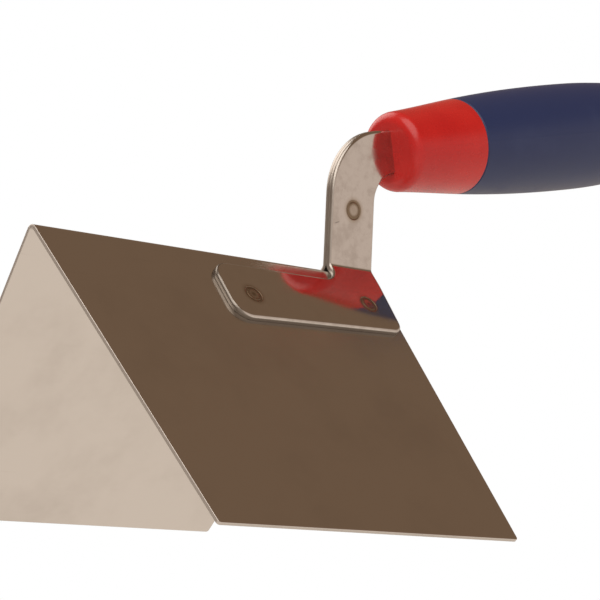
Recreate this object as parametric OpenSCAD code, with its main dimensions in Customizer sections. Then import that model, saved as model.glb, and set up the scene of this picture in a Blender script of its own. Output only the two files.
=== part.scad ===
// Corner trowel: a folded stainless blade, a bracket of two pressed steel leaves
// that are spot welded back to back and to the wings, and a moulded handle.
//
// Frame: +X runs from the toe of the blade to its heel and on towards the handle's
// tail, +Y runs across the wings and +Z is up. The tool stands on the lower edges
// of its wings at z = 0, with the origin under the middle of its whole length.
// The near side is the -Y side.

/* [Blade] */
// Length of the ridge, from toe to heel
blade_length = 114; // [100:1:130]
// Width of a wing down its slope, from the sharp corner that the fold rounds off
wing_width = 91.7; // [80:0.1:100]
// Angle between the two wings
wing_angle = 80; // [76:1:92]
// Thickness of the blade sheet
blade_t = 1; // [0.8:0.1:1.2]
// Outside radius of the fold along the ridge
ridge_radius = 1.8; // [1.6:0.1:2.4]
// How far the lower corner at the toe lies behind the ridge's end
toe_setback = 12; // [0:0.5:20]
// How far the lower corner at the heel lies in front of the ridge's end
heel_setback = 2.5; // [0:0.5:5]
// Radius of the two lower corners of a wing
wing_corner_r = 0.8; // [0.4:0.1:3]

/* [Bracket] */
// Thickness of one bracket leaf
leaf_t = 1.6; // [1.2:0.1:2]
// Width of the neck, along the ridge
neck_width = 16; // [12:0.5:18]
// Distance from the neck's back edge to the ridge's heel end
neck_inset = 0.4; // [0.2:0.1:3]
// Radius of the elbow's outer curve
elbow_outer_r = 19; // [14:1:22]
// Radius of the elbow's inner curve
elbow_inner_r = 9; // [3:0.5:10]
// Inside radius of the bend between the neck and a foot
foot_bend_r = 1.5; // [1:0.1:2]
// Length of a foot, forward of the neck
foot_reach = 45.1; // [36:0.1:52]
// Top edge of a foot, down the slope from the fold's sharp corner
foot_top = 6; // [6:0.1:8]
// Lower edge of a foot at its front end, down the same slope
foot_bottom_front = 25; // [22:0.1:28]
// Lower edge of a foot at its back end, down the same slope
foot_bottom_back = 22.9; // [20:0.1:26]

/* [Tang] */
// Height of the tang, across the handle axis
tang_height = 12.2; // [11:0.1:14]
// Length of tang behind the collar seam
tang_reach = 34; // [30:1:40]
// Diameter of the two locking holes in the tang
lock_hole_d = 5; // [4:0.5:6]

/* [Handle] */
// Slope of the handle, upwards from the ridge
handle_tilt = 12.1; // [8:0.1:16]
// Distance from the ridge's toe end to the collar seam
seam_x = 145.2; // [142:0.1:152]
// Height of the handle axis over the ridge at the collar seam
seam_z = 40.7; // [38:0.1:46]
// Length of the collar, in front of the seam
collar_length = 26.3; // [24:0.1:28]
// Radius of the rounding at the collar's front edge
collar_round = 3.2; // [2:0.1:4]
// Radius of the collar just behind its rounding
collar_front_r = 11.15; // [10.5:0.05:12.5]
// Radius of the handle at the collar seam
seam_r = 13.4; // [13.2:0.1:15]
// Radius of the grip where it is fullest
belly_r = 15.6; // [15:0.05:17]
// Distance from the seam to the fullest place
belly_s = 50; // [44:1:56]
// Radius of the waist in front of the tail
waist_r = 13.9; // [13.2:0.1:14.4]
// Distance from the seam to the waist
waist_s = 92; // [86:1:94]
// Radius of the rounded tail
tail_r = 14.4; // [14:0.1:16]
// Distance from the seam to the middle of the rounded tail
tail_s = 100; // [98:1:106]
// Diameter of the hole that the tool hangs by
hang_hole_d = 7; // [5:0.5:8]
// Length of the hanging hole, between the floors of its two dishes
hang_hole_length = 21; // [18:0.5:24]

/* [Welds] */
// Diameter of a weld nugget
nugget_d = 4.5; // [3:0.1:5]
// Diameter of the ring that the electrode leaves on the face
weld_ring_d = 5.6; // [5:0.1:6.5]

/* [Hidden] */

stainless = [0.78, 0.74, 0.70];
weld_grey = [0.55, 0.53, 0.51];
core_red = [0.78, 0.09, 0.08];
grip_blue = [0.12, 0.14, 0.27];

round_fn = 96;
corner_steps = 10;
eps = 0.01;

// How far a wing's plate runs into the ridge's fold
lap = 0.02;

// The fold: a wing leans half_angle away from the vertical, and its outer face
// starts from the sharp corner at the height apex_z over the rounded ridge.
half_angle = wing_angle / 2;
apex_z = ridge_radius * (1 / sin(half_angle) - 1);
fold_tangent = ridge_radius / tan(half_angle);

// The bracket's bend starts at bend_z on the neck and at bend_s on the foot.
bend_outer_r = foot_bend_r + leaf_t;
bend_s = bend_outer_r * tan(half_angle / 2);
bend_z = apex_z + bend_s;
bend_leg = 1.5;
bend_relief = 0.04;
neck_back = blade_length - neck_inset;
neck_front = neck_back - neck_width;

// A foot's outline, and the places of the welds: [along the ridge, down the slope].
foot_front = neck_front - foot_reach;
foot_back = neck_back - 1.3;
foot_root_r = 4.7;
foot_top_r = 5.5;
foot_bottom_r = 5.5;
foot_heel_r = 3.5;
front_weld = [foot_front + 9.1, 16.6];
rear_weld = [neck_back - 9.5, 14];
neck_weld_at = [neck_front + 7.9, 17.2];
nugget_in_leaf = leaf_t / 2;
nugget_in_blade = blade_t / 2;
ring_depth = 0.15;
ring_dot_d = 2.4;

// Along the handle's axis, distances run from the collar seam towards the tail.
seam_groove = 0.3;
spine_r = 11;
spine_end = waist_s + 1;
spine_key_w = 4;
spine_key_r = 12.3;
spine_key_s = [6, 86];
spine_grooves = [20, 46, 72];
spine_groove_w = 3;
spine_groove_depth = 1;
tang_end_r = 2;
lock_holes = [4, 24];
tang_weld_s = 14;
hang_dish_r = 7;

// Radius and slope of the handle's outline at the places that shape it.
handle_stations = [
    [collar_round - collar_length, collar_front_r, 0.075],
    [0, seam_r, 0.095],
    [belly_s, belly_r, 0],
    [waist_s, waist_r, 0],
    [tail_s, tail_r, 0]
];
outline_step = 2;

// Where the whole tool stands.
lowest_z = apex_z - wing_width * cos(half_angle) - blade_t * sin(half_angle);
longest_x = seam_x + tail_s * cos(handle_tilt) + tail_r;

// ---- Outlines ----

function unit(v) = v / norm(v);

function turned(v, angle) = [
    v.x * cos(angle) - v.y * sin(angle),
    v.x * sin(angle) + v.y * cos(angle)
];

// The points that round the corner at b, between a and c, to the radius r
function round_corner(a, b, c, r) =
    let (
        to_a = unit(a - b),
        to_c = unit(c - b),
        half = acos(to_a * to_c) / 2,
        centre = b + unit(to_a + to_c) * r / sin(half),
        start = b + to_a * r / tan(half) - centre,
        sweep = (180 - 2 * half) * sign(cross(to_c, to_a))
    )
    [for (i = [0:corner_steps]) centre + turned(start, sweep * i / corner_steps)];

// An outline from corners [x, y, r], where r is 0 at a sharp corner
function outline(corners) =
    let (count = len(corners))
    [
        for (i = [0:count - 1])
            let (
                before = corners[(i + count - 1) % count],
                here = corners[i],
                after = corners[(i + 1) % count],
                point = [here.x, here.y]
            )
            each here.z > 0
                ? round_corner([before.x, before.y], point, [after.x, after.y], here.z)
                : [point]
    ];

// Radius between two stations [s, radius, slope], as a cubic curve
function between(a, b, s) =
    let (
        span = b[0] - a[0],
        t = (s - a[0]) / span
    )
    a[1] * (2 * pow(t, 3) - 3 * pow(t, 2) + 1)
        + span * a[2] * (pow(t, 3) - 2 * pow(t, 2) + t)
        + b[1] * (3 * pow(t, 2) - 2 * pow(t, 3))
        + span * b[2] * (pow(t, 3) - pow(t, 2));

// Radius of the handle at the distance s behind the seam
function handle_r(s, i = 0) =
    i == len(handle_stations) - 2 || s <= handle_stations[i + 1][0]
        ? between(handle_stations[i], handle_stations[i + 1], s)
        : handle_r(s, i + 1);

// Outline points [radius, s] from one place on the handle to another
function handle_curve(from, to) =
    let (steps = ceil((to - from) / outline_step))
    [
        for (i = [0:steps])
            let (s = from + (to - from) * i / steps)
            [handle_r(s), s]
    ];

// A point [x, z] at the distance s along the handle and the height up over its axis
function on_handle(s, up) = [
    seam_x + s * cos(handle_tilt) - up * sin(handle_tilt),
    seam_z + s * sin(handle_tilt) + up * cos(handle_tilt)
];

// The distance along the handle at which a line at the height up reaches x
function handle_s(x, up) = (x - seam_x + up * sin(handle_tilt)) / cos(handle_tilt);

// ---- Placing ----

// From the ridge's toe end to the tool's own frame
module standing() {
    translate([-longest_x / 2, 0, -lowest_z]) children();
}

// The near wing's outer face: local X along the ridge, -Y down the slope, +Z outwards
module on_wing(x = 0, s = 0) {
    translate([x, 0, apex_z])
        rotate([90 - half_angle, 0, 0])
            translate([0, -s, 0]) children();
}

// The upright plane between the two leaves, with local +Z towards the near side
module upright() {
    rotate([90, 0, 0]) children();
}

// The handle's axis as local Z, with the collar seam at zero
module on_axis() {
    translate([seam_x, 0, seam_z])
        rotate([0, 90 - handle_tilt, 0]) children();
}

module far_side() {
    mirror([0, 1, 0]) children();
}

// The YZ plane, with local +Z along the ridge
module across() {
    rotate([90, 0, 90]) children();
}

// ---- Blade ----

module wing() {
    corners = [
        [0, lap - fold_tangent, 0],
        [toe_setback, -wing_width, wing_corner_r],
        [blade_length - heel_setback, -wing_width, wing_corner_r],
        [blade_length, lap - fold_tangent, 0]
    ];
    on_wing() translate([0, 0, -blade_t])
        linear_extrude(blade_t) polygon(outline(corners));
}

module ridge_fold() {
    translate([0, 0, -ridge_radius])
        across()
            rotate([0, 0, half_angle])
                rotate_extrude(angle = 180 - wing_angle, $fn = round_fn)
                    translate([ridge_radius - blade_t, 0]) square([blade_t, blade_length]);
}

module foot_pockets(pocket_depth) {
    for (place = [front_weld, rear_weld])
        on_wing(place.x, place.y) translate([0, 0, -pocket_depth])
            cylinder(d = nugget_d, h = pocket_depth + eps, $fn = round_fn);
}

module blade() {
    color(stainless) standing() difference() {
        union() {
            wing();
            far_side() wing();
            ridge_fold();
        }
        foot_pockets(nugget_in_blade);
        far_side() foot_pockets(nugget_in_blade);
    }
}

// ---- Bracket ----

// The strip's profile across the ridge: the neck's foot end, the bend and the foot
function strip_profile() =
    let (
        slope = [-sin(half_angle), -cos(half_angle)],
        outwards = [-cos(half_angle), sin(half_angle)],
        inner_corner = [0, apex_z],
        outer_corner = inner_corner + [-leaf_t, leaf_t * tan(half_angle / 2)],
        inner_end = inner_corner + 2 * foot_bottom_front * slope,
        outer_end = inner_end + leaf_t * outwards,
        top = bend_z + bend_leg
    )
    outline([
        [0, top, 0],
        [inner_corner.x, inner_corner.y, bend_outer_r],
        [inner_end.x, inner_end.y, 0],
        [outer_end.x, outer_end.y, 0],
        [outer_corner.x, outer_corner.y, foot_bend_r],
        [-leaf_t, top, 0]
    ]);

// The foot's outline, cut square to the wing. It runs up past the bend, where the strip
// is drawn in by bend_relief on each side of the neck.
module foot_outline() {
    above_bend = 2 * (bend_s + bend_leg);
    bend_front = neck_front + bend_relief;
    bend_back = neck_back - bend_relief;
    polygon(outline([
        [bend_front, above_bend, 0],
        [bend_front, -foot_top, foot_root_r],
        [foot_front, -foot_top, foot_top_r],
        [foot_front, -foot_bottom_front, foot_bottom_r],
        [foot_back, -foot_bottom_back, foot_heel_r],
        [bend_back, -foot_top, 0],
        [bend_back, above_bend, 0]
    ]));
}

module foot_and_bend() {
    cut_depth = 6 * leaf_t;
    intersection() {
        across() linear_extrude(2 * blade_length) polygon(strip_profile());
        on_wing() translate([0, 0, -cut_depth / 2])
            linear_extrude(cut_depth) foot_outline();
    }
}

function neck_outline() =
    let (
        top = tang_height / 2,
        front_corner = on_handle(handle_s(neck_front, top), top),
        back_corner = on_handle(handle_s(neck_back, -top), -top),
        end_top = on_handle(tang_reach, top),
        end_bottom = on_handle(tang_reach, -top)
    )
    outline([
        [neck_front, bend_z, 0],
        [front_corner.x, front_corner.y, elbow_outer_r],
        [end_top.x, end_top.y, tang_end_r],
        [end_bottom.x, end_bottom.y, tang_end_r],
        [back_corner.x, back_corner.y, elbow_inner_r],
        [neck_back, bend_z, 0]
    ]);

module lock_pins(length) {
    for (s = lock_holes) {
        place = on_handle(s, 0);
        translate([place.x, 0, place.y])
            rotate([90, 0, 0])
                cylinder(d = lock_hole_d, h = length, center = true, $fn = round_fn);
    }
}

// Neck, elbow and tang of one leaf, with its locking holes
module upright_plate() {
    difference() {
        upright() linear_extrude(leaf_t) polygon(neck_outline());
        lock_pins(4 * leaf_t);
    }
}

module electrode_ring() {
    difference() {
        cylinder(d = weld_ring_d, h = 2 * ring_depth, center = true, $fn = round_fn);
        cylinder(d = ring_dot_d, h = 3 * ring_depth, center = true, $fn = round_fn);
    }
}

module upright_nugget(place) {
    translate([place.x, 0, place.y])
        rotate([90, 0, 0])
            cylinder(d = nugget_d, h = 2 * nugget_in_leaf, center = true, $fn = round_fn);
}

module near_leaf() {
    difference() {
        union() {
            upright_plate();
            foot_and_bend();
        }
        for (place = [front_weld, rear_weld]) {
            on_wing(place.x, place.y) translate([0, 0, -eps])
                cylinder(d = nugget_d, h = nugget_in_leaf + eps, $fn = round_fn);
            on_wing(place.x, place.y) translate([0, 0, leaf_t]) electrode_ring();
        }
        upright_nugget(neck_weld_at);
        upright_nugget(on_handle(tang_weld_s, 0));
        upright() translate([neck_weld_at.x, neck_weld_at.y, leaf_t]) electrode_ring();
    }
}

module near_bracket_leaf() {
    color(stainless) standing() near_leaf();
}

module far_bracket_leaf() {
    color(stainless) standing() far_side() near_leaf();
}

// ---- Welds ----

module neck_weld() {
    color(weld_grey) standing() upright_nugget(neck_weld_at);
}

module tang_weld() {
    color(weld_grey) standing() upright_nugget(on_handle(tang_weld_s, 0));
}

module foot_nugget(place) {
    on_wing(place.x, place.y) translate([0, 0, -nugget_in_blade])
        cylinder(d = nugget_d, h = nugget_in_blade + nugget_in_leaf, $fn = round_fn);
}

module near_front_foot_weld() {
    color(weld_grey) standing() foot_nugget(front_weld);
}

module near_rear_foot_weld() {
    color(weld_grey) standing() foot_nugget(rear_weld);
}

module far_front_foot_weld() {
    color(weld_grey) standing() far_side() foot_nugget(front_weld);
}

module far_rear_foot_weld() {
    color(weld_grey) standing() far_side() foot_nugget(rear_weld);
}

// ---- Handle ----

function collar_profile() =
    let (front_s = collar_round - collar_length)
    concat(
        [[0, -collar_length]],
        [
            for (i = [0:corner_steps])
                let (angle = 90 * i / corner_steps)
                [
                    collar_front_r - collar_round * (1 - sin(angle)),
                    front_s - collar_round * cos(angle)
                ]
        ],
        handle_curve(front_s + 1, -seam_groove),
        [[handle_r(0) - seam_groove, 0], [0, 0]]
    );

function tail_profile() =
    concat(
        [[0, spine_end], [handle_r(spine_end) - seam_groove, spine_end]],
        handle_curve(spine_end + seam_groove, tail_s),
        [
            for (i = [1:2 * corner_steps])
                let (angle = 90 * i / (2 * corner_steps))
                [tail_r * cos(angle), tail_s + tail_r * sin(angle)]
        ]
    );

function grip_profile() =
    concat(
        [[0, 0], [handle_r(0) - seam_groove, 0]],
        handle_curve(seam_groove, spine_end - seam_groove),
        [[handle_r(spine_end) - seam_groove, spine_end], [0, spine_end]]
    );

// The inner bar of the core that the grip is moulded over, with its keys and grooves
module spine() {
    difference() {
        union() {
            cylinder(r = spine_r, h = spine_end, $fn = round_fn);
            translate([-spine_key_r, -spine_key_w / 2, spine_key_s[0]])
                cube([2 * spine_key_r, spine_key_w, spine_key_s[1] - spine_key_s[0]]);
        }
        for (s = spine_grooves)
            translate([0, 0, s - spine_groove_w / 2])
                difference() {
                    cylinder(r = 2 * spine_r, h = spine_groove_w, $fn = round_fn);
                    cylinder(r = spine_r - spine_groove_depth, h = spine_groove_w, $fn = round_fn);
                }
    }
}

// The space that both leaves take up inside the core
module tang_slot() {
    difference() {
        translate([0, leaf_t, 0])
            upright() linear_extrude(2 * leaf_t) polygon(neck_outline());
        lock_pins(4 * leaf_t);
    }
}

module hanging_hole() {
    place = on_handle(tail_s, 0);
    dish_depth = tail_r;
    translate([place.x, 0, place.y]) rotate([90, 0, 0]) {
        cylinder(d = hang_hole_d, h = 3 * tail_r, center = true, $fn = round_fn);
        for (side = [-1, 1])
            translate([0, 0, side * (hang_hole_length + dish_depth) / 2])
                cylinder(r = hang_dish_r, h = dish_depth, center = true, $fn = round_fn);
    }
}

// Collar and spine, moulded round the tang
module core_bar() {
    difference() {
        on_axis() {
            rotate_extrude($fn = round_fn) polygon(collar_profile());
            spine();
        }
        tang_slot();
    }
}

module core_tail() {
    difference() {
        on_axis() rotate_extrude($fn = round_fn) polygon(tail_profile());
        hanging_hole();
    }
}

module handle_core() {
    color(core_red) standing() {
        core_bar();
        core_tail();
    }
}

module soft_grip() {
    color(grip_blue) standing() on_axis() difference() {
        rotate_extrude($fn = round_fn) polygon(grip_profile());
        spine();
    }
}

// ---- Assembly ----

blade();
near_bracket_leaf();
far_bracket_leaf();
neck_weld();
tang_weld();
near_front_foot_weld();
near_rear_foot_weld();
far_front_foot_weld();
far_rear_foot_weld();
handle_core();
soft_grip();
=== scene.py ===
import math

import bmesh
import bpy
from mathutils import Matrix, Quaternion, Vector


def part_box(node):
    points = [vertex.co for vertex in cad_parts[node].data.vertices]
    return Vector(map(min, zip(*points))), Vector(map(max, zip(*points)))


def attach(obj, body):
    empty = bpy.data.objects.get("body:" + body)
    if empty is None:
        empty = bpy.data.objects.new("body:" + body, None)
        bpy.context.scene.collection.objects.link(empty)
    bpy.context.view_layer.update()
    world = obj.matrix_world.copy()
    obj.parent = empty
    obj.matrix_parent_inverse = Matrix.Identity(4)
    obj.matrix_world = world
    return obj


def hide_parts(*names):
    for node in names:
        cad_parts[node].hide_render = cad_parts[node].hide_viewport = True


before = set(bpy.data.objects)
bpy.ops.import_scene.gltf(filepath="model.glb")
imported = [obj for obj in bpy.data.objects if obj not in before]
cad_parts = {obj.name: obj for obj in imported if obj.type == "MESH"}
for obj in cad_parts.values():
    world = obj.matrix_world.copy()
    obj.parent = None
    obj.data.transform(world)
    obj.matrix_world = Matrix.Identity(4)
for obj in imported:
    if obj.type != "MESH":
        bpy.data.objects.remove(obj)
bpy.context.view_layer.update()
mm = 0.001


# ---- Camera ----
# A long lens looks at the near wing from low in front of the toe, a little below the
# edges that the tool stands on.

blade_low, blade_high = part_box("blade")
ridge_toe = Vector((blade_low.x, 0, blade_high.z))

view_azimuth = math.radians(-43.185)
view_elevation = math.radians(-6.2)
view_roll = math.radians(2.534)
view_distance = 567.5 * mm
aim = ridge_toe + Vector((44.4, -47.24, -15.8)) * mm

back = Vector((
    math.sin(view_azimuth) * math.cos(view_elevation),
    -math.cos(view_azimuth) * math.cos(view_elevation),
    math.sin(view_elevation),
))
upright_view = (-back).to_track_quat("-Z", "Y")
bpy.ops.object.camera_add(location=aim + back * view_distance)
camera = bpy.context.object
camera.rotation_mode = "QUATERNION"
camera.rotation_quaternion = upright_view @ Quaternion((0, 0, 1), view_roll)
camera.data.lens = 144.4
camera.data.sensor_width = 36
camera.data.clip_start = 0.01
bpy.context.scene.camera = camera


# ---- Studio ----
# A pale floor just under the tool, which shows only from above and in no reflection, a
# room that the steel mirrors, and two soft lamps.


class Wire:
    """An output socket of a node tree. Sums and products of wires add Math nodes."""

    def __init__(self, tree, socket=None):
        self.tree = tree
        self.socket = socket

    def node(self, kind, settings=None, inputs=None, output=0):
        """Adds a node: its settings first, then the values or wires of its inputs."""
        made = self.tree.nodes.new("ShaderNode" + kind)
        for name, value in (settings or {}).items():
            setattr(made, name, value)
        for name, value in (inputs or {}).items():
            if isinstance(value, Wire):
                self.tree.links.new(value.socket, made.inputs[name])
            else:
                made.inputs[name].default_value = value
        return Wire(self.tree, made.outputs[output] if made.outputs else None)

    def maths(self, operation, one, other=0.0):
        return self.node("Math", {"operation": operation}, {0: one, 1: other})

    def __add__(self, other):
        return self.maths("ADD", self, other)

    def __sub__(self, other):
        return self.maths("SUBTRACT", self, other)

    def __rsub__(self, other):
        return self.maths("SUBTRACT", other, self)

    def __mul__(self, other):
        return self.maths("MULTIPLY", self, other)

    __radd__ = __add__
    __rmul__ = __mul__

    def __abs__(self):
        return self.maths("ABSOLUTE", self)

    def part(self, letter):
        """The x, y or z of this vector."""
        return self.node("SeparateXYZ", {}, {0: self}, output="xyz".index(letter))

    def between(self, low, high, to_low=0.0, to_high=1.0):
        """Maps low..high to to_low..to_high with soft ends."""
        return self.node(
            "MapRange",
            {"interpolation_type": "SMOOTHSTEP"},
            {"Value": self, 1: low, 2: high, 3: to_low, 4: to_high},
        )

    def blend(self, one, other):
        """The colour one where this wire is 0, and other where it is 1."""
        return self.node(
            "Mix", {"data_type": "RGBA"}, {0: self, 6: one, 7: other}, output=2
        )


def new_material(name):
    """An empty material, and a wire to build it from."""
    made = bpy.data.materials.new(name)
    made.use_nodes = True
    made.node_tree.nodes.clear()
    return made, Wire(made.node_tree)


white = (1, 1, 1, 1)
floor_paint = (0.86, 0.83, 0.80, 1)
floor_gap = 0.2 * mm
floor_size = 6.0

bpy.ops.object.select_all(action="DESELECT")
bpy.ops.mesh.primitive_grid_add(x_subdivisions=8, y_subdivisions=8, size=floor_size)
floor = bpy.context.object
floor.name = "floor"
bpy.ops.object.mode_set(mode="EDIT")
bpy.ops.transform.translate(value=(0, 0, -floor_gap))
bpy.ops.object.mode_set(mode="OBJECT")
floor_material, start = new_material("floor_paint")
underside = start.node("NewGeometry", output=6)
from_above = start.node("BsdfDiffuse", {}, {"Color": floor_paint})
from_below = start.node("BsdfTransparent", {}, {"Color": white})
seen = start.node("MixShader", {}, {0: underside, 1: from_above, 2: from_below})
start.node("OutputMaterial", {}, {"Surface": seen})
floor.data.materials.append(floor_material)
floor.visible_glossy = False

# The room: pale below, warm grey at the sides, dim on the side past the toe and brown
# overhead. Seen directly, it is plain white.
room_below = (0.89, 0.80, 0.71, 1)
room_side = (0.70, 0.60, 0.53, 1)
room_dim = (0.27, 0.215, 0.175, 1)
room_overhead = (0.206, 0.138, 0.090, 1)
towards_dim_side = (-0.75, 0.66, 0)
room = bpy.data.worlds.new("room")
bpy.context.scene.world = room
room.use_nodes = True
room.node_tree.nodes.clear()
start = Wire(room.node_tree)
direction = start.node("TexCoord")
height = direction.part("z")
dim_side = start.node(
    "VectorMath", {"operation": "DOT_PRODUCT"}, {0: direction, 1: towards_dim_side}, output=1
)
walls = dim_side.between(-0.1, 0.6).blend(room_side, room_dim)
low_part = height.between(-0.55, -0.05).blend(room_below, walls)
all_round = height.between(0.18, 0.6).blend(low_part, room_overhead)
room_light = start.node("Background", {}, {"Color": all_round})
backdrop = start.node("Background", {}, {"Color": white, "Strength": 1.0})
straight_on = start.node("LightPath")
both = start.node("MixShader", {}, {0: straight_on, 1: room_light, 2: backdrop})
start.node("OutputWorld", {}, {"Surface": both})


def soft_lamp(name, place, strength, width, tone):
    """A wide, distant lamp in this direction, so many degrees across."""
    bpy.ops.object.light_add(type="SUN", location=place)
    lamp = bpy.context.object
    lamp.name = name
    lamp.rotation_mode = "QUATERNION"
    lamp.rotation_quaternion = (-Vector(place)).to_track_quat("-Z", "Y")
    lamp.data.energy = strength
    lamp.data.angle = math.radians(width)
    lamp.data.color = tone


soft_lamp("window_lamp", (-0.9, -0.6, 1.13), 1.75, 61, (1.0, 0.97, 0.93))
soft_lamp("back_lamp", (-0.2, 1.2, 0.93), 1.15, 50, (1.0, 0.95, 0.9))

bpy.context.scene.view_settings.view_transform = "Standard"


# ---- Blade ----
# One sheet of polished stainless steel, cut to shape, folded over a round tool along
# the ridge into two equal wings, and lightly rounded along its edges.


def work_on(piece):
    """Leaves edit mode, and makes the piece (or nothing) the only one selected."""
    if bpy.context.object and bpy.context.object.mode == "EDIT":
        bpy.ops.object.mode_set(mode="OBJECT")
    bpy.ops.object.select_all(action="DESELECT")
    bpy.context.view_layer.objects.active = piece
    if piece:
        piece.select_set(True)


def new_shape(operator, **settings):
    """Adds a primitive and opens it in edit mode, all selected."""
    work_on(None)
    operator(**settings)
    bpy.ops.object.mode_set(mode="EDIT")
    bpy.ops.mesh.select_all(action="SELECT")
    return bpy.context.object


def middle_of(item):
    """The place of a vertex, or the middle of an edge or a face."""
    if isinstance(item, bmesh.types.BMVert):
        return item.co
    return sum((vert.co for vert in item.verts), Vector()) / len(item.verts)


def pick(kind, wanted):
    """In edit mode, selects only the verts, edges or faces that pass the test."""
    modes = {"verts": "VERT", "edges": "EDGE", "faces": "FACE"}
    bpy.ops.mesh.select_mode(type=modes[kind])
    bpy.ops.mesh.select_all(action="DESELECT")
    mesh = bpy.context.object.data
    shape = bmesh.from_edit_mesh(mesh)
    for item in getattr(shape, kind):
        if wanted(middle_of(item), item):
            item.select_set(True)
    bmesh.update_edit_mesh(mesh)


def move(step):
    bpy.ops.transform.translate(value=step)


def extrude(step):
    bpy.ops.mesh.extrude_region_move(TRANSFORM_OT_translate={"value": step})


def turn(degrees, axis):
    """Turns what is selected about the world origin, by the right-hand rule."""
    bpy.ops.transform.rotate(
        value=-math.radians(degrees), orient_axis=axis, center_override=(0, 0, 0)
    )


def finish_with(piece, kind, **settings):
    """Adds a modifier to the piece and applies it."""
    work_on(piece)
    modifier = piece.modifiers.new(kind.lower(), kind)
    for name, value in settings.items():
        setattr(modifier, name, value)
    bpy.ops.object.modifier_apply(modifier=modifier.name)


def edit(piece):
    """Opens the piece in edit mode."""
    work_on(piece)
    bpy.ops.object.mode_set(mode="EDIT")


def sharp(edge):
    return len(edge.link_faces) == 2 and edge.calc_face_angle() > math.radians(50)


def round_edges(radius, steps):
    bpy.ops.mesh.bevel(offset=radius, segments=steps, profile=0.5, affect="EDGES")


def smooth(piece, degrees):
    """Smooth shading, with flat faces kept flat and corners over this angle sharp."""
    work_on(piece)
    bpy.ops.object.shade_smooth_by_angle(angle=math.radians(degrees))
    finish_with(piece, "WEIGHTED_NORMAL", keep_sharp=True, weight=90)


# Closer than this counts as touching.
touch = 0.01 * mm
ridge_length = blade_high.x - blade_low.x
half_angle = math.radians(40)
ridge_radius = 1.8 * mm
wing_width = 91.7 * mm
blade_t = 1.0 * mm
toe_setback = 12 * mm
heel_setback = 2.5 * mm
wing_corner = 0.8 * mm
blade_edge = 0.18 * mm

sharp_corner = ridge_toe.z + ridge_radius * (1 / math.sin(half_angle) - 1)
fold_start = ridge_radius / math.tan(half_angle)
flat_width = wing_width - fold_start
down_slope = Vector((0, -math.sin(half_angle), -math.cos(half_angle)))
outwards = Vector((0, -math.cos(half_angle), math.sin(half_angle)))

blade = new_shape(bpy.ops.mesh.primitive_plane_add, size=1)
bpy.ops.transform.resize(value=(ridge_length, flat_width, 1))
move((ridge_toe.x + ridge_length / 2, -fold_start - flat_width / 2, 0))
pick("verts", lambda at, vert: at.y < -flat_width and at.x < ridge_toe.x + mm)
move((toe_setback, 0, 0))
pick("verts", lambda at, vert: at.y < -flat_width and at.x > ridge_toe.x + ridge_length - mm)
move((-heel_setback, 0, 0))
pick("verts", lambda at, vert: at.y < -flat_width)
bpy.ops.mesh.bevel(offset=wing_corner, segments=6, affect="VERTICES")
bpy.ops.mesh.select_all(action="SELECT")
turn(90 - math.degrees(half_angle), "X")
move((0, 0, sharp_corner))

# Half of the fold, and then the other half of the blade as its mirror image.
pick("edges", lambda at, edge: at.y > -2 * fold_start)
bpy.ops.mesh.spin(
    steps=8,
    angle=math.pi / 2 - half_angle,
    center=(0, 0, ridge_toe.z - ridge_radius),
    axis=(1, 0, 0),
)
finish_with(blade, "MIRROR", use_axis=(False, True, False), merge_threshold=touch)
edit(blade)
pick("faces", lambda at, face: face.normal.z < 0)
bpy.ops.mesh.flip_normals()
finish_with(blade, "SOLIDIFY", thickness=blade_t, offset=-1, use_even_offset=True)
edit(blade)
pick("edges", lambda at, edge: sharp(edge))
round_edges(blade_edge, 3)
smooth(blade, 35)
blade.name = "folded_blade"

steel_tint = (0.66, 0.61, 0.565, 1)
steel_shadow = (0.52, 0.47, 0.425, 1)


def finish_steel(start, tint, roughness, relief, depth):
    """Ends a polished steel: its tint and roughness, and a relief this many metres deep."""
    bump = start.node("Bump", {}, {"Strength": 0.5, "Distance": depth, "Height": relief})
    surface = start.node(
        "BsdfPrincipled",
        {},
        {"Base Color": tint, "Metallic": 1.0, "Roughness": roughness, "Normal": bump},
    )
    start.node("OutputMaterial", {}, {"Surface": surface})


def take_place_of(piece, node):
    """The piece is shown for a CAD node and moves with the tool."""
    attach(piece, "root")
    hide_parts(node)


blade_material, start = new_material("polished_sheet")
place = start.node("TexCoord", output=3)
along_sheet = start.node("Mapping", {}, {"Vector": place, "Scale": (25, 900, 900)})
rolling = start.node("TexNoise", {}, {"Vector": along_sheet, "Scale": 1.0, "Detail": 4.0})
patches = start.node(
    "TexNoise", {}, {"Vector": place, "Scale": 26.0, "Detail": 5.0, "Roughness": 0.6}
)
smears = patches.between(0.42, 0.75)
hairlines = rolling.between(0.66, 0.74)

# The cut edges at the ends and along the bottom are duller than the sheet.
facing = start.node("TexCoord", output=1)
end_on = abs(facing.part("x"))
facing_down = facing.part("z").between(-0.74, -0.68, 1, 0)
sheared = start.maths("MAXIMUM", end_on.between(0.2, 0.6), facing_down)
finish_steel(
    start,
    (smears * 0.55 + hairlines * 0.2).blend(steel_tint, steel_shadow),
    smears * 0.07 + hairlines * 0.05 + sheared * 0.35 + 0.15,
    rolling,
    0.004 * mm,
)
blade.data.materials.append(blade_material)
take_place_of(blade, "blade")


# ---- Bracket ----
# Two leaves of pressed stainless strip, back to back. Each has a foot on its wing, a
# bend, a neck, an elbow and a tang that the handle is moulded round. The punched edges
# are well rounded, and the electrode leaves a ring at each spot weld.

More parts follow.
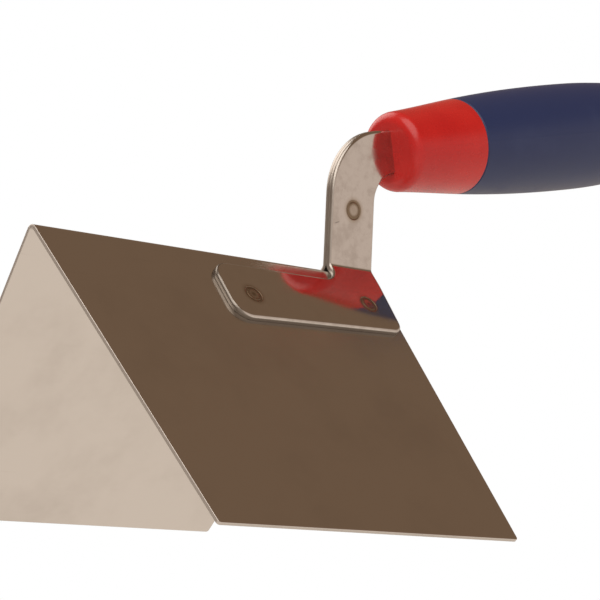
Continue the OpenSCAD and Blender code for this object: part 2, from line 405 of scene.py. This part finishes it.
leaf_t = 1.6 * mm
neck_inset = 0.4 * mm
neck_width = 16 * mm
neck_back = ridge_toe.x + ridge_length - neck_inset
neck_front = neck_back - neck_width
bend_radius = 3.1 * mm
bend_reach = bend_radius * math.tan(half_angle / 2)
bend_start = sharp_corner + bend_reach
foot_top = 6 * mm
foot_bottom_front = 25 * mm
foot_bottom_back = 22.9 * mm
foot_reach = 45.1 * mm
foot_back_step = 1.3 * mm
foot_root_round = 4.7 * mm
foot_front_round = 5.5 * mm
foot_heel_round = 3.5 * mm
elbow_outer = 19 * mm
elbow_inner = 9 * mm
tang_half = 6.1 * mm
tang_reach = 34 * mm
tang_round = 2 * mm
leaf_rim = 0.9 * mm
leaf_back_rim = 0.15 * mm

handle_tilt = math.radians(12.1)
seam = ridge_toe + Vector((145.2, 0, 40.7)) * mm
along_handle = Vector((math.cos(handle_tilt), 0, math.sin(handle_tilt)))
over_handle = Vector((-math.sin(handle_tilt), 0, math.cos(handle_tilt)))


def tang_line(x, up):
    """The point at x on the line that runs along the handle at this height over its axis."""
    at_seam = seam + over_handle * up
    return at_seam + along_handle * ((x - at_seam.x) / along_handle.x)


def on_wing(x, slope_distance, out=0.0):
    """A point on the near wing's outer face."""
    edge = Vector((ridge_toe.x + x, 0, sharp_corner))
    return edge + down_slope * slope_distance + outwards * out


def round_corner(place, radius, corner_angle, steps=10):
    """Rounds one corner of a flat outline to a true radius."""
    half = corner_angle / 2
    reach = radius / math.tan(half)
    pull = radius * (1 / math.sin(half) - 1) / (2 * reach * math.cos(half))
    pick("verts", lambda at, vert: (at - place).length < 0.05 * mm)
    bpy.ops.mesh.bevel(
        offset=reach, segments=steps, profile=(1 - pull) ** 2, affect="VERTICES"
    )


def cut_with(piece, operator, **settings):
    """Cuts a primitive out of the piece."""
    tool = new_shape(operator, **settings)
    finish_with(piece, "BOOLEAN", object=tool, operation="DIFFERENCE", solver="EXACT")
    bpy.data.objects.remove(tool)


outer_corner = tang_line(neck_front, tang_half)
inner_corner = tang_line(neck_back, -tang_half)
neck_height = inner_corner.z - bend_start

# The neck and tang as one flat outline, with the elbow's corners rounded.
leaf = new_shape(bpy.ops.mesh.primitive_plane_add, size=1)
bpy.ops.transform.resize(value=(neck_width, neck_height, 1))
turn(90, "X")
move((neck_front + neck_width / 2, 0, bend_start + neck_height / 2))
pick("verts", lambda at, vert: at.z > inner_corner.z - mm and at.x < neck_back - mm)
move((0, 0, outer_corner.z - inner_corner.z))
pick("edges", lambda at, edge: at.z > inner_corner.z)
extrude(along_handle * (tang_reach + 2 * neck_width + seam.x - neck_back))
bpy.ops.mesh.select_all(action="SELECT")
bpy.ops.mesh.bisect(
    plane_co=seam + along_handle * tang_reach, plane_no=along_handle, clear_outer=True
)
elbow_line = (outer_corner + inner_corner) / 2
pick("edges", lambda at, edge: (at - elbow_line).length < 0.1 * mm)
bpy.ops.mesh.dissolve_edges(use_verts=False)
elbow_angle = math.pi / 2 + handle_tilt
round_corner(outer_corner, elbow_outer, elbow_angle, 24)
round_corner(inner_corner, elbow_inner, elbow_angle, 16)
for up in (-tang_half, tang_half):
    tang_corner = seam + along_handle * tang_reach + over_handle * up
    round_corner(tang_corner, tang_round, math.pi / 2)

# The bend, and then the foot on the wing, which is drawn forwards from the neck.
pick("edges", lambda at, edge: at.z < bend_start + touch)
bpy.ops.mesh.spin(
    steps=6, angle=half_angle, center=(0, -bend_radius, bend_start), axis=(1, 0, 0)
)
extrude(down_slope * (foot_top - bend_reach))
extrude(down_slope * (foot_bottom_back - foot_top))
foot_side = on_wing(0, (foot_top + foot_bottom_back) / 2).z
pick("edges", lambda at, edge: at.x < neck_front + mm and abs(at.z - foot_side) < mm)
extrude((-foot_reach, 0, 0))
foot_front = neck_front - foot_reach
foot_low = on_wing(0, foot_bottom_back).z + mm
pick("verts", lambda at, vert: at.z < foot_low and at.x < foot_front + mm)
move(down_slope * (foot_bottom_front - foot_bottom_back))
pick("verts", lambda at, vert: at.z < foot_low and at.x > neck_back - mm)
move((-foot_back_step, 0, 0))
pick("faces", lambda at, face: at.z < on_wing(0, bend_reach + mm).z)
bpy.ops.mesh.dissolve_faces()
pick("verts", lambda at, vert: at.z < foot_low and abs(at.x - neck_front) < mm)
bpy.ops.mesh.dissolve_verts()

front = foot_front - ridge_toe.x
rear = neck_back - foot_back_step - ridge_toe.x
round_corner(on_wing(neck_front - ridge_toe.x, foot_top), foot_root_round, math.pi / 2)
round_corner(on_wing(front, foot_top), foot_front_round, math.pi / 2)
round_corner(on_wing(front, foot_bottom_front), foot_front_round, math.radians(88))
round_corner(on_wing(rear, foot_bottom_back), foot_heel_round, math.radians(94))

pick("faces", lambda at, face: face.normal.y > 0)
bpy.ops.mesh.flip_normals()
finish_with(leaf, "SOLIDIFY", thickness=leaf_t, offset=1, use_even_offset=True)
edit(leaf)
pick("edges", lambda at, edge: sharp(edge) and min(f.normal.y for f in edge.link_faces) < -0.7)
round_edges(leaf_rim, 5)
pick("edges", lambda at, edge: sharp(edge) and max(f.normal.y for f in edge.link_faces) > 0.7)
round_edges(leaf_back_rim, 2)

# The rings that the electrodes leave, each cut by a torus that stands mostly clear of
# the sheet, and the tang's two locking holes.
ring_radius = 2.3 * mm
ring_wire = 0.55 * mm
ring_rise = 0.42 * mm
neck_weld = Vector((neck_front + 7.9 * mm, 0, ridge_toe.z + 17.2 * mm))
lock_hole_radius = 2.5 * mm
lock_holes = (4 * mm, 24 * mm)
# The foot's welds: how far behind the toe, and how far down the slope.
front_weld = (front + 9.1 * mm, 16.6 * mm)
rear_weld = (rear - 8.2 * mm, 14 * mm)
wing_turn = (math.pi / 2 - half_angle, 0, 0)
neck_turn = (math.pi / 2, 0, 0)
weld_marks = [
    (on_wing(*front_weld, leaf_t + ring_rise), wing_turn),
    (on_wing(*rear_weld, leaf_t + ring_rise), wing_turn),
    (neck_weld - Vector((0, leaf_t + ring_rise, 0)), neck_turn),
]
for place, facing in weld_marks:
    cut_with(
        leaf,
        bpy.ops.mesh.primitive_torus_add,
        location=place,
        rotation=facing,
        major_radius=ring_radius,
        minor_radius=ring_wire,
        major_segments=64,
        minor_segments=24,
    )
for distance in lock_holes:
    cut_with(
        leaf,
        bpy.ops.mesh.primitive_cylinder_add,
        location=seam + along_handle * distance,
        rotation=neck_turn,
        vertices=48,
        radius=lock_hole_radius,
        depth=4 * leaf_t,
    )

# The far leaf is the near one's mirror image.
work_on(leaf)
bpy.ops.object.duplicate()
far_leaf = bpy.context.object
edit(far_leaf)
bpy.ops.mesh.select_all(action="SELECT")
bpy.ops.transform.resize(value=(1, -1, 1), center_override=(0, 0, 0))
bpy.ops.mesh.normals_make_consistent(inside=False)

# The foot is mirror bright and the neck a little dull. The rims are satin from
# tumbling, and their tint is darkened as painted shade, most on the foot's rims. Each
# weld has a brown heat ring, the same on both leaves.
ring_brown = (0.24, 0.17, 0.105, 1)
rim_shade_grey = (0.40, 0.36, 0.32, 1)
heat_brown = (0.42, 0.34, 0.26, 1)
# A dark brown-grey: painted shade on the foot's rims, and the colour of the neck's scratch.
rim_shade_and_scratch = (0.20, 0.175, 0.15, 1)
bracket_steel, start = new_material("bracket_strip")
place = start.node("TexCoord", output=3)
facing = start.node("TexCoord", output=1)
place_x = place.part("x")
place_y = place.part("y")
place_z = place.part("z")
near_y = abs(place_y) * -1
near_place = start.node("CombineXYZ", {}, {0: place_x, 1: near_y, 2: place_z})
nearest = 1.0
for centre, _ in weld_marks:
    gap = start.node(
        "VectorMath", {"operation": "DISTANCE"}, {0: near_place, 1: centre}, output=1
    )
    nearest = start.maths("MINIMUM", gap, nearest)
ring = nearest.between(1.1 * mm, 2.0 * mm) * nearest.between(2.5 * mm, 3.1 * mm, 1, 0)
dot = nearest.between(0.3 * mm, 1.2 * mm, 1, 0)
heat = nearest.between(2.3 * mm, 4.2 * mm, 1, 0)

facing_up = facing.part("z")
facing_side = abs(facing.part("y"))
like_wing = facing_side * math.cos(half_angle) + facing_up * math.sin(half_angle)
flatness = start.maths("MAXIMUM", facing_side, like_wing)
rim = flatness.between(0.80, 0.93, 1, 0)
foot = facing_up.between(0.2, 0.5)
on_foot = place_z.between(ridge_toe.z - 2 * mm, ridge_toe.z + mm, 1, 0)

# A short scratch low on the near neck.
scratch_middle = Vector((neck_front + 2 * mm, 0, ridge_toe.z + 13.2 * mm))
scratch_tilt = math.radians(20)
scratch_half_length = 1.1 * mm
scratch_half_width = 0.17 * mm
from_x = place_x - scratch_middle.x
from_z = place_z - scratch_middle.z
lengthwise = from_x * math.cos(scratch_tilt) + from_z * math.sin(scratch_tilt)
lengthwise = lengthwise * (1 / scratch_half_length)
crosswise = from_z * math.cos(scratch_tilt) - from_x * math.sin(scratch_tilt)
crosswise = crosswise * (1 / scratch_half_width)
off_scratch = lengthwise * lengthwise + crosswise * crosswise
scratch = off_scratch.between(0.3, 1.0, 1, 0) * place_y.between(-mm, 0, 1, 0)

mottle = start.node(
    "TexNoise", {}, {"Vector": place, "Scale": 260.0, "Detail": 5.0, "Roughness": 0.65}
)
cloudy = mottle.between(0.40, 0.68) * (1 - foot * 0.8)
streaks = start.node(
    "TexNoise",
    {},
    {
        "Vector": start.node("Mapping", {}, {"Vector": place, "Scale": (900, 900, 60)}),
        "Scale": 1.0,
        "Detail": 4.0,
    },
)
tint = (cloudy * 0.7).blend(steel_tint, steel_shadow)
# Painted shade: the rims are tinted a darker grey, which dims their reflections.
tint = (rim * 0.8).blend(tint, rim_shade_grey)
# Painted shade: the foot's rims are darkened further.
tint = (rim * on_foot * 0.8).blend(tint, rim_shade_and_scratch)
tint = (heat * 0.65).blend(tint, heat_brown)
tint = (ring * 0.85).blend(tint, ring_brown)
tint = (dot * on_foot * 0.8).blend(tint, ring_brown)
tint = (scratch * 0.6).blend(tint, rim_shade_and_scratch)
finish_steel(
    start,
    tint,
    0.09 - foot * 0.035 + cloudy * 0.08 + rim * 0.25 + heat * 0.08 + ring * 0.2,
    streaks,
    0.003 * mm,
)
leaf_names = {"near_bracket_leaf": leaf, "far_bracket_leaf": far_leaf}
for node, piece in leaf_names.items():
    smooth(piece, 35)
    piece.name = node.replace("bracket_leaf", "pressed_leaf")
    piece.data.materials.append(bracket_steel)
    take_place_of(piece, node)


# ---- Spot welds ----
# Six nuggets of fused steel, shut in between the sheets: one between the necks, one
# between the tangs inside the handle, and two under each foot.

weld_steel, start = new_material("fused_steel")
place = start.node("TexCoord", output=3)
crust = start.node(
    "TexNoise", {}, {"Vector": place, "Scale": 900.0, "Detail": 6.0, "Roughness": 0.7}
)
finish_steel(
    start,
    crust.between(0.4, 0.65).blend(steel_shadow, ring_brown),
    crust * 0.3 + 0.35,
    crust,
    0.05 * mm,
)
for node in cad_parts:
    if node.endswith("_weld"):
        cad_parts[node].data.materials.clear()
        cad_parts[node].data.materials.append(weld_steel)


# ---- Handle core ----
# Glossy red plastic, moulded round the tang in a two-part mould. Its collar and tail
# show, and a bar between them carries the grip. A fine line marks where the mould parted.

collar_length = 26.3 * mm
collar_round = 3.2 * mm
seam_radius = 13.4 * mm
seam_groove = 0.3 * mm
grip_length = 93 * mm
spine_radius = 11 * mm
tail_middle = 100 * mm
tail_radius = 14.4 * mm
round_sides = 128
parting_width = 0.1 * mm
parting_rise = 0.035 * mm

# Where the outline is shaped: distance behind the seam, radius, and slope.
stations = [
    (collar_round - collar_length, 11.15 * mm, 0.075),
    (0, seam_radius, 0.095),
    (50 * mm, 15.6 * mm, 0),
    (92 * mm, 13.9 * mm, 0),
    (tail_middle, tail_radius, 0),
]


def handle_radius(distance):
    """The handle's radius, as a cubic curve from station to station."""
    pairs = list(zip(stations, stations[1:]))
    (s0, r0, m0), (s1, r1, m1) = next((p for p in pairs if distance <= p[1][0]), pairs[-1])
    span = s1 - s0
    t = (distance - s0) / span
    return (
        r0 * (2 * t**3 - 3 * t**2 + 1)
        + span * m0 * (t**3 - 2 * t**2 + t)
        + r1 * (3 * t**2 - 2 * t**3)
        + span * m1 * (t**3 - t**2)
    )


def outline(start, end, step=1.5 * mm):
    """Places along the handle as (distance, radius), from one distance to another."""
    count = max(1, round((end - start) / step))
    places = [start + (end - start) * i / count for i in range(count + 1)]
    return [(place, handle_radius(place)) for place in places]


def draw_out(rings):
    """Extrudes the open ring or cap at the first place through all the others."""
    for (s0, r0), (s1, r1) in zip(rings, rings[1:]):
        extrude((0, 0, s1 - s0))
        bpy.ops.transform.resize(value=(r1 / r0, r1 / r0, 1), center_override=(0, 0, s1))


def raise_parting_line(start, end):
    """A fine ridge along both sides, where the halves of the mould met."""
    pick(
        "edges",
        lambda at, edge: all(abs(v.co.x) < touch for v in edge.verts)
        and abs(edge.verts[0].co.z - edge.verts[1].co.z) > 0.2 * mm
        and start < at.z < end
        and abs(at.y) > spine_radius,
    )
    bpy.ops.mesh.bevel(offset=parting_width, segments=2, affect="EDGES")
    pick(
        "verts",
        lambda at, vert: abs(at.x) < touch
        and start < at.z < end
        and abs(at.y) > spine_radius,
    )
    stretch = 1 + parting_rise / seam_radius
    bpy.ops.transform.resize(value=(1, stretch, 1), center_override=(0, 0, 0))


def set_on_handle_axis():
    """Turns the upright shape onto the handle's axis, with the seam at its zero."""
    bpy.ops.mesh.select_all(action="SELECT")
    turn(90 - math.degrees(handle_tilt), "Y")
    move(seam)


front_s = collar_round - collar_length
nose = [
    (
        front_s - collar_round * math.cos(math.radians(angle)),
        handle_radius(front_s) - collar_round * (1 - math.sin(math.radians(angle))),
    )
    for angle in range(0, 91, 9)
]
cap = [
    (
        tail_middle + tail_radius * math.sin(math.radians(angle)),
        tail_radius * math.cos(math.radians(angle)),
    )
    for angle in range(5, 90, 5)
]
core_rings = (
    nose
    + outline(front_s, -seam_groove)[1:]
    + [(0, seam_radius - seam_groove), (touch, spine_radius)]
    + [(grip_length - touch, spine_radius)]
    + [(grip_length, handle_radius(grip_length) - seam_groove)]
    + outline(grip_length + seam_groove, tail_middle)
    + cap
)
core = new_shape(
    bpy.ops.mesh.primitive_circle_add,
    vertices=round_sides,
    radius=nose[0][1],
    fill_type="NGON",
    location=(0, 0, 0),
)
move((0, 0, nose[0][0]))
draw_out(core_rings)
bpy.ops.mesh.merge(type="CENTER")
tail_end = tail_middle + tail_radius
pick("verts", lambda at, vert: at.z > tail_end - 0.2 * mm)
move((0, 0, tail_end - cap[-1][0]))
raise_parting_line(front_s, -seam_groove)
set_on_handle_axis()
bpy.ops.mesh.normals_make_consistent(inside=False)

# The space for the tang, the hanging hole and the shallow dish at each of its ends.
for piece in leaf_names.values():
    finish_with(core, "BOOLEAN", object=piece, operation="DIFFERENCE", solver="EXACT")
hole_middle = seam + along_handle * tail_middle
hole_length = 21 * mm
hole_radius = 3.5 * mm
dish_radius = 7 * mm
dish_cutter = 10 * mm
cut_with(
    core,
    bpy.ops.mesh.primitive_cylinder_add,
    location=hole_middle,
    rotation=neck_turn,
    vertices=96,
    radius=hole_radius,
    depth=3 * tail_radius,
)
for side in (-1, 1):
    cut_with(
        core,
        bpy.ops.mesh.primitive_cylinder_add,
        location=hole_middle + Vector((0, side * (hole_length + dish_cutter) / 2, 0)),
        rotation=neck_turn,
        vertices=96,
        radius=dish_radius,
        depth=dish_cutter,
    )
smooth(core, 32)
core.name = "red_core"

plastic_red = (0.66, 0.022, 0.018, 1)
plastic_deep = (0.55, 0.012, 0.012, 1)
core_material, start = new_material("glossy_red_plastic")
place = start.node("TexCoord", output=3)
flow = start.node("TexNoise", {}, {"Vector": place, "Scale": 45.0, "Detail": 3.0})
scuff = start.node(
    "TexNoise", {}, {"Vector": place, "Scale": 420.0, "Detail": 4.0, "Roughness": 0.7}
)
worn = scuff.between(0.56, 0.78)
skin = start.node("Bump", {}, {"Strength": 0.15, "Distance": 0.03 * mm, "Height": scuff})
surface = start.node(
    "BsdfPrincipled",
    {},
    {
        "Base Color": flow.between(0.35, 0.7).blend(plastic_red, plastic_deep),
        "Roughness": worn * 0.12 + flow * 0.05 + 0.24,
        "IOR": 1.5,
        "Normal": skin,
    },
)
start.node("OutputMaterial", {}, {"Surface": surface})
core.data.materials.append(core_material)
take_place_of(core, "handle_core")


# ---- Soft grip ----
# Dark blue rubber, moulded over the bar of the core between the collar and the tail.
# Its skin is satin, and its two ends are chamfered into a fine groove.

grip_rings = (
    [(0, spine_radius), (touch, seam_radius - seam_groove)]
    + outline(seam_groove, grip_length - seam_groove)
    + [(grip_length, handle_radius(grip_length) - seam_groove)]
    + [(grip_length + touch, spine_radius)]
)
grip = new_shape(
    bpy.ops.mesh.primitive_circle_add,
    vertices=round_sides,
    radius=spine_radius,
    fill_type="NOTHING",
)
draw_out(grip_rings)
grip_end = grip_rings[-1][0]
pick(
    "edges",
    lambda at, edge: len(edge.link_faces) == 1
    and (abs(at.z) < 0.001 * mm or abs(at.z - grip_end) < 0.001 * mm),
)
bpy.ops.mesh.bridge_edge_loops()
raise_parting_line(seam_groove, grip_length - seam_groove)
set_on_handle_axis()
bpy.ops.mesh.normals_make_consistent(inside=False)
smooth(grip, 32)
grip.name = "blue_grip"

rubber_blue = (0.016, 0.030, 0.108, 1)
rubber_pale = (0.028, 0.044, 0.128, 1)
grip_material, start = new_material("satin_blue_rubber")
place = start.node("TexCoord", output=3)
pores = start.node(
    "TexNoise", {}, {"Vector": place, "Scale": 1500.0, "Detail": 2.0, "Roughness": 0.5}
)
handling = start.node("TexNoise", {}, {"Vector": place, "Scale": 60.0, "Detail": 4.0})
rubbed = handling.between(0.48, 0.72)
skin = start.node("Bump", {}, {"Strength": 0.3, "Distance": 0.03 * mm, "Height": pores})
surface = start.node(
    "BsdfPrincipled",
    {},
    {
        "Base Color": (rubbed * 0.7 + pores * 0.3).blend(rubber_blue, rubber_pale),
        "Roughness": rubbed * 0.08 + pores * 0.08 + 0.38,
        "IOR": 1.48,
        "Normal": skin,
    },
)
start.node("OutputMaterial", {}, {"Surface": surface})
grip.data.materials.append(grip_material)
take_place_of(grip, "soft_grip")
